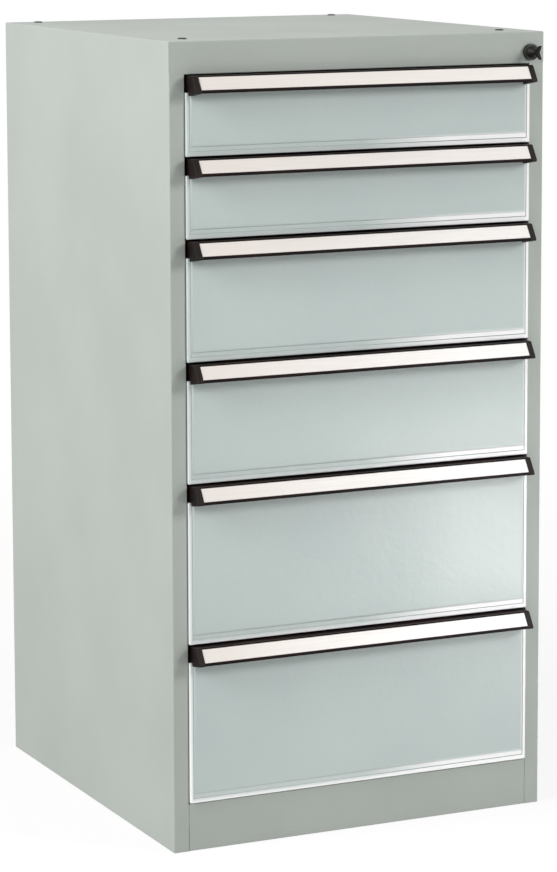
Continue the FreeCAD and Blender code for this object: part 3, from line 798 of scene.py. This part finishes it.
def handle_parts(number):
    """Extrusion and label strip of one drawer, each one section carried along X.

    A place in the section is measured out from the drawer's face and down from the top.
    """
    low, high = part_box("drawer_%d_handle" % number)
    depth, height = high.y - cover_reach - low.y, high.z - low.z
    top_corner = np.array((high.y - cover_reach, high.z))

    def at(out, down):
        """Point of the section."""
        return top_corner - (out, down)

    start = at(handle_top_depth, 0)
    slope = at(depth, height - handle_lip) - start
    along = slope / np.linalg.norm(slope)
    outward = np.array((along[1], -along[0]))
    recess = outward * strip_recess
    first = start + along * strip_margin
    last = first + along * (strip_width + 2 * strip_play)
    inner = start - outward * handle_wall
    under_top = (high.z - handle_wall - inner[1]) / along[1]
    behind_lip = (low.y + handle_wall - inner[0]) / along[0]
    hook = [
        at(-cover_reach, 0), start, first, first - recess, last - recess, last, start + slope,
        at(depth, height), at(depth - handle_wall, height),
        inner + along * behind_lip, inner + along * under_top,
        at(handle_wall, handle_wall), at(handle_wall, height), at(0, height),
        at(0, cover_sheet), at(-cover_reach, cover_sheet),
    ]
    radii = [
        hook_corner, handle_edge, *[hook_corner] * 4, *[handle_edge] * 4,
        hook_corner, handle_edge, *[hook_corner] * 4,
    ]
    ends = [(0, low.x), (0, high.x)]
    extrusion = moulded(hook, radii, ends, "yzx")
    floor = first - recess + along * strip_play
    rise = outward * strip_sheet
    far = along * strip_width
    section = [floor + rise, floor + far + rise, floor + far, floor]
    strip = moulded(section, strip_corner, ends, "yzx")
    body = "drawer_%d" % number
    node = body + "_handle"
    piece(node + "_extrusion", [extrusion], black_anodised, body, node)
    node = body + "_label_strip"
    piece(node + "_slip", [strip], cream_strip, body, node)


def end_caps(number):
    """Two caps that follow the handle's outline and fill the pan's notches, outer faces eased."""
    node = "drawer_%d_end_caps" % number
    low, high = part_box(node)
    handle_low, handle_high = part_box("drawer_%d_handle" % number)
    pan_face = handle_high.y - cover_reach
    corners = [
        (high.y, high.z),
        (pan_face - handle_top_depth - cap_overhang, high.z),
        (low.y, handle_low.z + handle_lip),
        (low.y, handle_low.z),
        (pan_face, low.z),
        (pan_face, handle_low.z),
        (high.y, handle_low.z),
    ]
    caps = []
    for side in (-1, 1):
        outer = side * high.x
        eased = rounding((0, outer - side * cap_edge), (cap_edge, outer))
        caps.append(moulded(corners, cap_radii, [(0, side * handle_high.x), *eased], "yzx"))
    piece(node + "_pair", caps, cap_plastic, "drawer_%d" % number, node)


# Drawer boxes and their runner members: enamelled boxes of 1 mm sheet between bright zinc members.
# Their shapes stay as the frame has them.
box_enamel = material("powder_coat_box_grey", enamel("#B2B7B0", "#ACB1AA", rough=0.48))

for number in range(1, 7):
    drawer_front(number)
    handle_parts(number)
    end_caps(number)
    keep_node("drawer_%d_box" % number, box_enamel)
    keep_node("drawer_%d_runners" % number, bright_zinc)
    keep_node("mid_runners_%d" % number, bright_zinc)

# Floor and light: a plain white floor under even studio light. The floor and the sky show white to
# the camera and in reflections, and the floor keeps part of the cabinet's shadow.
floor_half = 9.0
floor_drop = 0.3 * MM
floor_glow = 0.84
shadow_reach = 0.9
clear_reach = 2.4
ambient = 0.44


def seen_directly(tree):
    """1 for camera, glossy and transmission rays, else 0."""
    path = add(tree, "LightPath")
    seen = add(tree, "Math", {
        0: path["Is Camera Ray"], 1: path["Is Glossy Ray"],
    }, operation="MAXIMUM")[0]
    return add(tree, "Math", {0: seen, 1: path["Is Transmission Ray"]}, operation="MAXIMUM")[0]


def white_floor(tree, place):
    """Matt white paper, which throws back less light than it shows.

    Camera and reflections see it as plain white by floor_glow near the cabinet, and wholly so
    beyond clear_reach, where no shadow falls.
    """
    fibre = add(tree, "TexNoise", {"Vector": place, "Scale": 1 / (400 * MM), "Detail": 2.0})[0]
    tint = add(tree, "Mix", {
        0: fibre, 6: linear("#F4F4F3"), 7: linear("#F7F7F6"),
    }, data_type="RGBA")[2]
    seen = seen_directly(tree)
    tint = add(tree, "Mix", {0: seen, 6: linear("#BEBEBD"), 7: tint}, data_type="RGBA")[2]
    paper = add(tree, "BsdfDiffuse", {"Color": tint})[0]
    glow = add(tree, "Emission", {"Color": linear("#FFFFFF"), "Strength": 1.0})[0]
    reach = add(tree, "VectorMath", {0: place}, operation="LENGTH")["Value"]
    fade = add(tree, "MapRange", {
        "Value": reach, "From Min": shadow_reach, "From Max": clear_reach,
        "To Min": floor_glow, "To Max": 1.0,
    })[0]
    share = add(tree, "Math", {0: seen, 1: fade}, operation="MULTIPLY")[0]
    return add(tree, "MixShader", {0: share, 1: paper, 2: glow})[0]


floor_mesh = bpy.data.meshes.new("studio_floor")
floor_corners = rectangle((-floor_half, floor_half), (-floor_half, floor_half))
floor_mesh.from_pydata([(x, y, -floor_drop) for x, y in floor_corners], [], [(0, 1, 2, 3)])
floor_mesh.materials.append(material("white_paper", white_floor))
floor = bpy.data.objects.new("studio_floor", floor_mesh)
bpy.context.scene.collection.objects.link(floor)

world = bpy.data.worlds.new("studio")
world.use_nodes = True
sky = world.node_tree
sky.nodes.clear()
brightness = add(sky, "MapRange", {
    "Value": seen_directly(sky), "To Min": ambient, "To Max": 1.0,
})[0]
backdrop = add(sky, "Background", {"Color": linear("#FFFFFF"), "Strength": brightness})[0]
add(sky, "OutputWorld", {"Surface": backdrop})
bpy.context.scene.world = world


def lamp(name, place, target, size, power, spread=180):
    """Square soft box at place, turned to its target and unseen by the camera.

    A grid narrows its light to the spread, in degrees.
    """
    light = bpy.data.lights.new(name, "AREA")
    light.size = size
    light.energy = power
    light.spread = np.radians(spread)
    made = bpy.data.objects.new(name, light)
    made.location = place
    made.rotation_euler = (Vector(target) - Vector(place)).to_track_quat("-Z", "Y").to_euler()
    made.visible_camera = False
    bpy.context.scene.collection.objects.link(made)


lamp("side_box", place=(-3.8, -0.7, 2.9), target=(-0.25, 0, 0.8), size=2.0, power=180.0)
lamp("front_box", place=(2.4, -2.9, 2.1), target=(0, -0.25, 0.7), size=1.0, power=65.0)
lamp("low_panel", place=(0.92, -1.52, 0.08), target=(0.19, -0.265, 0.33), size=0.24, power=0.47,
     spread=60)
bpy.context.scene.view_settings.view_transform = "Standard"
